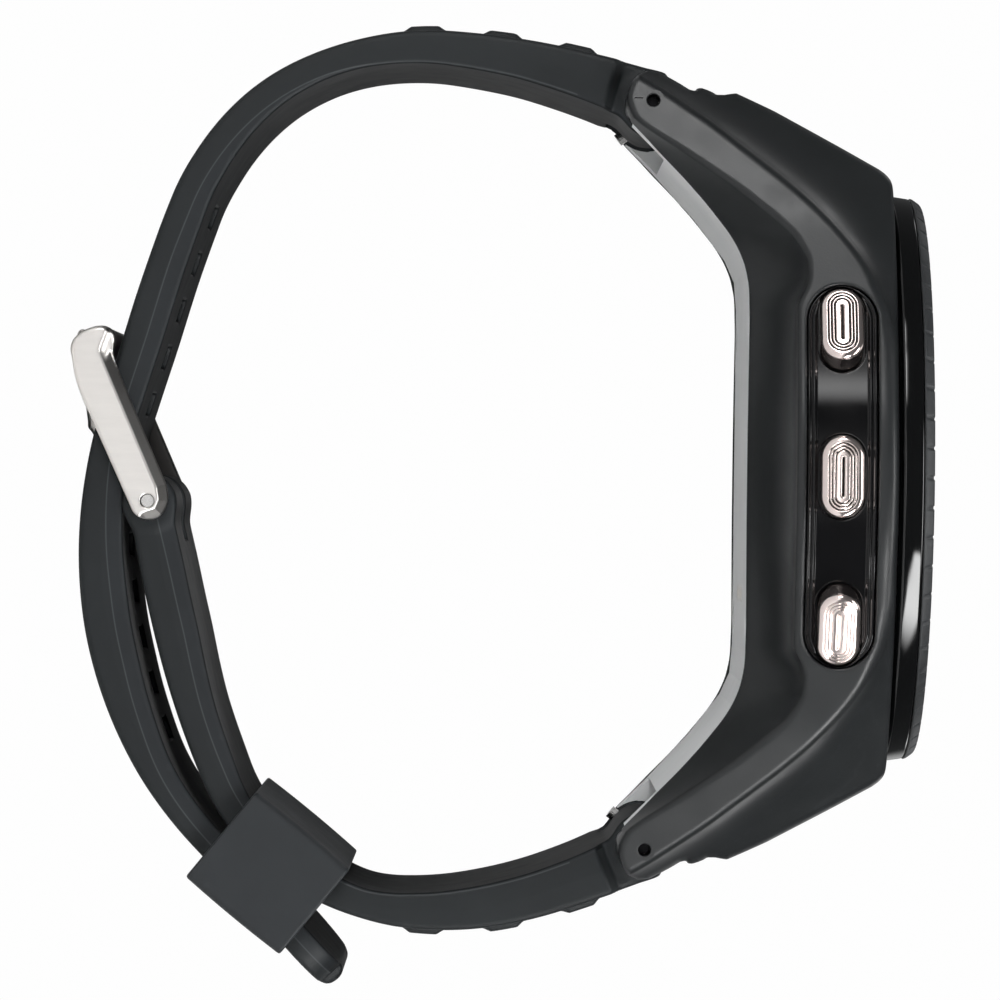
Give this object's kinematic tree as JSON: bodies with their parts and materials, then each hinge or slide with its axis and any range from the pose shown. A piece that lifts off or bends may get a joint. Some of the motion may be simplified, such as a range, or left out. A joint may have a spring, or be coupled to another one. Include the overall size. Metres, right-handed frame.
{
  "type": "golf gps watch",
  "caption": "Round golf watch with a deep curved case, side push buttons, domed lugs and a buckled silicone strap with keeper and pin buckle.",
  "frame": {"origin": "on the case axis, at the wrist plane of the back plate", "axes": "+X to 3 o'clock (button side), +Y to 12 o'clock, +Z out through the lens"},
  "size_m": [0.0485, 0.0769, 0.0685],
  "materials": {
    "case": "satin moulded",
    "bezel": "polished",
    "bezel_ring": "fine texture",
    "lens": "polished, dark print behind",
    "seal": "matt",
    "display": "glass-faced",
    "light_guide": "frosted",
    "inner_frame": "moulded",
    "board": "solder mask",
    "chips": "moulded",
    "tinplate": "satin",
    "copper_strip": "plated",
    "battery_wrap": "foil pouch",
    "steel_small": "satin",
    "buzzer_shell": "moulded",
    "back_plate": "satin moulded",
    "contact_gold": "plated",
    "panel_gloss": "polished",
    "strap": "matt silicone",
    "keeper": "matt silicone",
    "buckle_metal": "satin blasted",
    "button_metal": "rose plated",
    "spring_steel": "drawn",
    "bar_steel": "turned"
  },
  "bodies": {
    "case": {"case_body": "case", "bezel": "bezel", "bezel_ring": "bezel_ring", "lens": "lens", "lens_gasket": "seal", "display_panel": "display", "light_guide": "light_guide", "display_frame": "inner_frame", "main_board": "board", "board_chips": "chips", "shield_can": "tinplate", "gps_antenna": "copper_strip", "battery": "battery_wrap", "vibration_motor": "steel_small", "buzzer": "buzzer_shell", "tact_switches": "tinplate", "back_plate": "back_plate", "back_gasket": "seal", "back_screws": "steel_small", "charge_contacts": "contact_gold", "button_panel": "panel_gloss", "button_seals": "seal", "button_spring_upper": "spring_steel", "button_spring_middle": "spring_steel", "button_spring_lower": "spring_steel"},
    "button_upper": {"button_upper": "button_metal", "button_clip_upper": "spring_steel"},
    "button_middle": {"button_middle": "button_metal", "button_clip_middle": "spring_steel"},
    "button_lower": {"button_lower": "button_metal", "button_clip_lower": "spring_steel"},
    "strap_long": {"strap_long": "strap", "bar_tube_long": "bar_steel", "bar_spring_long": "spring_steel"},
    "strap_short": {"strap_short": "strap", "bar_tube_short": "bar_steel", "bar_spring_short": "spring_steel", "buckle_bar_tube": "bar_steel", "buckle_bar_spring": "spring_steel"},
    "pin_long_near": {"bar_pin_long_near": "bar_steel"},
    "pin_long_release": {"bar_pin_long_release": "bar_steel"},
    "pin_short_near": {"bar_pin_short_near": "bar_steel"},
    "pin_short_release": {"bar_pin_short_release": "bar_steel"},
    "buckle_pin_near": {"buckle_pin_near": "bar_steel"},
    "buckle_pin_far": {"buckle_pin_far": "bar_steel"},
    "buckle_frame": {"buckle_frame": "buckle_metal"},
    "buckle_tongue": {"buckle_tongue": "buckle_metal"},
    "keeper": {"keeper": "keeper"}
  },
  "joints": [
    {"name": "button_upper_press", "type": "slide", "parent": "case", "child": "button_upper", "axis": [-0.8746, -0.4848, 0], "range_m": [0, 0.0006], "stiffness_N_per_m": 1500, "deforming": ["button_spring_upper"]},
    {"name": "button_middle_press", "type": "slide", "parent": "case", "child": "button_middle", "axis": [-1, 0, 0], "range_m": [0, 0.0006], "stiffness_N_per_m": 1500, "deforming": ["button_spring_middle"]},
    {"name": "button_lower_press", "type": "slide", "parent": "case", "child": "button_lower", "axis": [-0.8746, 0.4848, 0], "range_m": [0, 0.0006], "stiffness_N_per_m": 1500, "deforming": ["button_spring_lower"]},
    {"name": "strap_long_hinge", "type": "hinge", "parent": "case", "child": "strap_long", "pos_m": [0, -0.0296, -0.00793], "axis": [-1, 0, 0], "range_deg": [0, 60], "deforming": ["strap_long", "strap_short"]},
    {"name": "strap_short_hinge", "type": "hinge", "parent": "case", "child": "strap_short", "pos_m": [0, 0.0296, -0.00793], "axis": [1, 0, 0], "range_deg": [0, 60], "deforming": ["strap_long", "strap_short"]},
    {"name": "buckle_frame_hinge", "type": "hinge", "parent": "strap_short", "child": "buckle_frame", "pos_m": [0, 0.00252, -0.04768], "axis": [1, 0, 0], "range_deg": [0, 50], "deforming": ["strap_long", "strap_short"]},
    {"name": "buckle_tongue_hinge", "type": "hinge", "parent": "buckle_frame", "child": "buckle_tongue", "pos_m": [0, 0.00252, -0.04768], "axis": [1, 0, 0], "range_deg": [0, 50], "deforming": ["strap_long", "strap_short"]},
    {"name": "keeper_slide", "type": "hinge", "parent": "strap_short", "child": "keeper", "pos_m": [0, 0.01777, -0.0265], "axis": [1, 0, 0], "range_deg": [-8, 8], "deforming": ["strap_long", "strap_short"]},
    {"name": "pin_long_near_retract", "type": "slide", "parent": "strap_long", "child": "pin_long_near", "axis": [-1, 0, 0], "range_m": [0, 0.0016], "stiffness_N_per_m": 900, "deforming": ["bar_spring_long"]},
    {"name": "pin_long_release_retract", "type": "slide", "parent": "strap_long", "child": "pin_long_release", "axis": [1, 0, 0], "range_m": [0, 0.0016], "stiffness_N_per_m": 900, "deforming": ["bar_spring_long"]},
    {"name": "pin_short_near_retract", "type": "slide", "parent": "strap_short", "child": "pin_short_near", "axis": [-1, 0, 0], "range_m": [0, 0.0016], "stiffness_N_per_m": 900, "deforming": ["bar_spring_short"]},
    {"name": "pin_short_release_retract", "type": "slide", "parent": "strap_short", "child": "pin_short_release", "axis": [1, 0, 0], "range_m": [0, 0.0016], "stiffness_N_per_m": 900, "deforming": ["bar_spring_short"]},
    {"name": "buckle_pin_near_retract", "type": "slide", "parent": "strap_short", "child": "buckle_pin_near", "axis": [-1, 0, 0], "range_m": [0, 0.0012], "stiffness_N_per_m": 900, "deforming": ["buckle_bar_spring"]},
    {"name": "buckle_pin_far_retract", "type": "slide", "parent": "strap_short", "child": "buckle_pin_far", "axis": [1, 0, 0], "range_m": [0, 0.0012], "stiffness_N_per_m": 900, "deforming": ["buckle_bar_spring"]}
  ]
}
